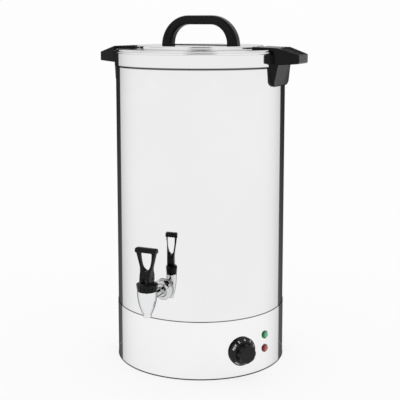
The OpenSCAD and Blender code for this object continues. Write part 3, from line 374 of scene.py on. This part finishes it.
def dial_figures():
    joint = next(j for j in frame["record"]["behaviour"]["joints"] if j["name"] == "knob_turn")
    centre, out = Vector(joint["pos_m"]), Vector(joint["axis"]).normalized()
    up = Vector((0, 0, 1))
    right = up.cross(out).normalized()
    (r0, h0), (r1, h1) = DIAL_SLOPE
    slope = Vector((r1 - r0, h1 - h0)).normalized()
    paint = moulded("dial_paint", grey(0.60), grey(0.66), (0.45, 0.55), bump=0.0)
    for word, degrees in DIAL_MARKS:
        a = math.radians(degrees)
        radial = right * math.sin(a) + up * math.cos(a)
        tangent = right * math.cos(a) - up * math.sin(a)
        top = -(radial * slope[0] + out * slope[1])          # down the slope, away from the axis
        normal = tangent.cross(top)
        middle = (centre + radial * (r0 + (r1 - r0) * DIAL_AT) + out * (h0 + (h1 - h0) * DIAL_AT)
                  + normal * FIGURE_RAISE)
        data = bpy.data.curves.new("figure", "FONT")
        data.body = word
        data.size = FIGURE_SIZE if len(word) == 1 else WORD_SIZE
        data.offset = FIGURE_WEIGHT
        data.extrude = FIGURE_RAISE
        data.align_x = "CENTER"
        data.align_y = "CENTER"
        data.resolution_u = FIGURE_CURVE
        text = bpy.data.objects.new("figure", data)
        bpy.context.scene.collection.objects.link(text)
        bpy.context.view_layer.update()
        graph = bpy.context.evaluated_depsgraph_get()
        mesh = bpy.data.meshes.new_from_object(text.evaluated_get(graph))
        bpy.data.objects.remove(text)
        mesh.transform(Matrix((tangent, top, normal)).transposed().to_4x4())
        mesh.transform(Matrix.Translation(middle))
        mesh.materials.clear()
        mesh.materials.append(paint)
        piece = bpy.data.objects.new("dial_figure_" + word, mesh)
        bpy.context.scene.collection.objects.link(piece)
        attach(piece, "control_knob")


# ------------------------------------------------------------------ rolled rim
# A thin smooth skin over the outer half of the rolled rim, whose facets show as a dashed line.
RIM_RING, RIM_Z = 0.1513, 0.5499      # the middle of the rim's round section
RIM_SKIN = (0.00194, 0.00175)         # the skin's outer and inner radius, the inner within the rim
RIM_REACH = math.radians(66)          # how far it goes round the section, up and down
RIM_STEPS, RIM_ROWS = 360, 18         # round the urn, and round the section


def add_piece(name, mesh, material):
    """Turn a finished bmesh into an object with a material, and return it."""
    bmesh.ops.recalc_face_normals(mesh, faces=mesh.faces)
    data = bpy.data.meshes.new(name)
    mesh.to_mesh(data)
    mesh.free()
    data.materials.append(material)
    piece = bpy.data.objects.new(name, data)
    bpy.context.scene.collection.objects.link(piece)
    return piece


def rim_skin():
    mesh = bmesh.new()
    rises = [RIM_REACH * (2 * k / RIM_ROWS - 1) for k in range(RIM_ROWS + 1)]
    section = [(RIM_SKIN[0], rise) for rise in rises]
    section += [(RIM_SKIN[1], rise) for rise in reversed(rises)]
    rings = []
    for i in range(RIM_STEPS):
        a = 2 * math.pi * i / RIM_STEPS
        ring = []
        for size, rise in section:
            out, z = RIM_RING + size * math.cos(rise), RIM_Z + size * math.sin(rise)
            ring.append(mesh.verts.new((out * math.cos(a), out * math.sin(a), z)))
        rings.append(ring)
    for ring, after in zip(rings, rings[1:] + rings[:1]):
        for k in range(len(section)):
            n = (k + 1) % len(section)
            mesh.faces.new((ring[k], after[k], after[n], ring[n])).smooth = k < RIM_ROWS
    skin = add_piece("rim_skin", mesh, MATERIALS["polished_steel"])
    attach(skin, "urn")


# ------------------------------------------------------------------ tap spring
# The coil stands between the bonnet, which is fixed, and the stem; the real one shortens as the
# stem rises, but this one is built once, at rest, and stays as it is.
SPRING_TURNS = 4.5
SPRING_STEPS = 40                     # along each turn
WIRE_R = 0.0006
WIRE_SIDES = 10


def tap_spring():
    low, high = (Vector(v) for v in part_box("tap_spring"))
    centre, radius = (low + high) / 2, (high.x - low.x) / 2 - WIRE_R
    foot, top = low.z + WIRE_R, high.z - WIRE_R
    steps = round(SPRING_TURNS * SPRING_STEPS)
    rise = math.atan2(top - foot, 2 * math.pi * radius * SPRING_TURNS)
    mesh = bmesh.new()
    rings = []
    for i in range(steps + 1):
        a = 2 * math.pi * SPRING_TURNS * i / steps
        out = Vector((math.cos(a), math.sin(a), 0))
        along = Vector((-math.sin(a) * math.cos(rise),
                        math.cos(a) * math.cos(rise), math.sin(rise)))
        middle = Vector((centre.x, centre.y, foot + (top - foot) * i / steps)) + out * radius
        side = along.cross(out)
        ring = []
        for k in range(WIRE_SIDES):
            b = 2 * math.pi * k / WIRE_SIDES
            ring.append(mesh.verts.new(middle + (out * math.cos(b) + side * math.sin(b)) * WIRE_R))
        rings.append(ring)
    for lower, upper in zip(rings, rings[1:]):
        for k in range(WIRE_SIDES):
            n = (k + 1) % WIRE_SIDES
            mesh.faces.new((lower[k], lower[n], upper[n], upper[k])).smooth = True
    mesh.faces.new(reversed(rings[0]))
    mesh.faces.new(rings[-1])
    coil = add_piece("tap_spring_coil", mesh, MATERIALS["spring_steel"])
    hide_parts("tap_spring")
    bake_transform(coil)


# ------------------------------------------------------------------ stage and light
# Floor and background are white. The metal mirrors the studio: the same white floor and walls,
# a grey gap above them, a bright ceiling, a dark end behind the camera, and dark cards that only
# mirrors show. All of it is fixed in the room. The cards stand close beside the urn and give it
# its dark edges.
FLOOR_SIZE = 6.0
FLOOR_WHITE = 0.93
FLOOR_ROUGH = 0.9
FLOOR_SEEN = (0.30, 0.715)            # the floor's colour to the camera, and what is added to it
FLOOR_MIRRORED = (0.205, 0.80)        # the same in a mirror
WORLD_LIGHT = 0.9
WORLD_SEEN = 0.985
WORLD_MIRRORED = 0.94                 # the walls, above the far end of the floor
# Where each change in the mirrored world begins and ends, by the sine of the height over the
# horizon.
WALLS = (-0.10, -0.02)
GAP_TONE = 0.45
GAP_LOW = (0.14, 0.165)
GAP_HIGH = (0.21, 0.26)
DARK_TONE = 0.0
DARK_LOW = (0.115, 0.14)
DARK_HIGH = (0.95, 0.99)
DARK_SIDES = (0.30, 0.50)             # tangents of its sides, off the photograph's line of view
LEAST_AHEAD = 0.001                   # keeps those tangents finite
RIGHT = Vector((math.cos(CAM_AZIMUTH), math.sin(CAM_AZIMUTH), 0))      # across the photograph
BACK = Vector((-math.sin(CAM_AZIMUTH), math.cos(CAM_AZIMUTH), 0))      # straight into it
# The cards' corners: to the right across the photograph, into it, and up.
CARD_TOP = 0.600
SIDE_CARD = ((0.152, 0.020, 0.001), (0.2045, 0.020, 0.001),
             (0.2045, 0.020, CARD_TOP), (0.152, 0.020, CARD_TOP))
FLOOR_CARD = ((0.1395, -0.0575, 0.0006), (0.2045, 0.020, 0.0006),
              (0.152, 0.020, 0.0006), (0.1515, -0.014, 0.0006))
CARD_TONE = (0.17, 0.038)             # at the floor and at the top


def stage_mesh(name, corners, mat):
    mesh = bpy.data.meshes.new(name)
    mesh.from_pydata(corners, [], [tuple(range(len(corners)))])
    mesh.materials.append(mat)
    obj = bpy.data.objects.new(name, mesh)
    bpy.context.scene.collection.objects.link(obj)
    return obj


def make_floor():
    t = Tree("floor")
    t.set(Roughness=FLOOR_ROUGH, Specular_IOR_Level=0.0, Emission_Color=WHITE)
    light = t.node("ShaderNodeLightPath")
    seen, mirrored = light.outputs["Is Camera Ray"], light.outputs["Is Glossy Ray"]
    tone = t.maths.choose(FLOOR_WHITE, (seen, FLOOR_SEEN[0]), (mirrored, FLOOR_MIRRORED[0]))
    colour = t.node("ShaderNodeCombineColor")
    for channel in ("Red", "Green", "Blue"):
        t.link(tone, colour.inputs[channel])
    t.drive("Base Color", colour.outputs["Color"])
    t.drive("Emission Strength",
            t.maths.choose(0.0, (seen, FLOOR_SEEN[1]), (mirrored, FLOOR_MIRRORED[1])))
    s = FLOOR_SIZE
    stage_mesh("floor", [(-s, -s, 0), (s, -s, 0), (s, s, 0), (-s, s, 0)], t.mat)


def make_card(name, corners):
    """A dark card that shows only in mirrors."""
    t = Tree(name)
    t.set(Base_Color=BLACK, Specular_IOR_Level=0.0, Emission_Color=WHITE)
    t.drive("Emission Strength",
            t.maths.ramp(t.maths.height(t.at_rest), 0.0, CARD_TOP, *CARD_TONE))
    places = [RIGHT * side + BACK * back + Vector((0, 0, up)) for side, back, up in corners]
    card = stage_mesh(name, places, t.mat)
    card.visible_camera = False
    card.visible_diffuse = False
    card.visible_shadow = False
    card.visible_transmission = False


def make_cards():
    for name, hand in (("left", -1), ("right", 1)):
        for kind, corners in (("side", SIDE_CARD), ("floor", FLOOR_CARD)):
            make_card("card_%s_%s" % (kind, name), [(hand * c[0], c[1], c[2]) for c in corners])


def make_world():
    world = bpy.data.worlds.new("studio")
    bpy.context.scene.world = world
    world.use_nodes = True
    tree = world.node_tree
    maths = Maths(tree)
    background = tree.nodes["Background"]
    background.inputs["Color"].default_value = WHITE
    way = tree.nodes.new("ShaderNodeTexCoord").outputs["Generated"]
    up = maths.height(way)
    walls = maths.ramp(up, *WALLS, WORLD_SEEN, WORLD_MIRRORED)
    gap = maths("MULTIPLY", maths.ramp(up, *GAP_LOW), maths.ramp(up, *GAP_HIGH, 1.0, 0.0))
    ahead = maths("MAXIMUM", maths.along(way, -BACK), LEAST_AHEAD)
    aside = maths("DIVIDE", maths("ABSOLUTE", maths.along(way, RIGHT)), ahead)
    dark = maths("MULTIPLY", maths.ramp(up, *DARK_LOW), maths.ramp(up, *DARK_HIGH, 1.0, 0.0))
    dark = maths("MULTIPLY", dark, maths.ramp(aside, *DARK_SIDES, 1.0, 0.0))
    mirrored = maths.choose(maths.choose(walls, (gap, GAP_TONE)), (dark, DARK_TONE))
    light = tree.nodes.new("ShaderNodeLightPath")
    shown = maths.choose(WORLD_LIGHT, (light.outputs["Is Camera Ray"], WORLD_SEEN),
                         (light.outputs["Is Glossy Ray"], mirrored))
    tree.links.new(shown, background.inputs["Strength"])


make_camera()
dress_parts()
dial_figures()
rim_skin()
tap_spring()
make_floor()
make_cards()
make_world()
bpy.context.scene.view_settings.view_transform = "Standard"
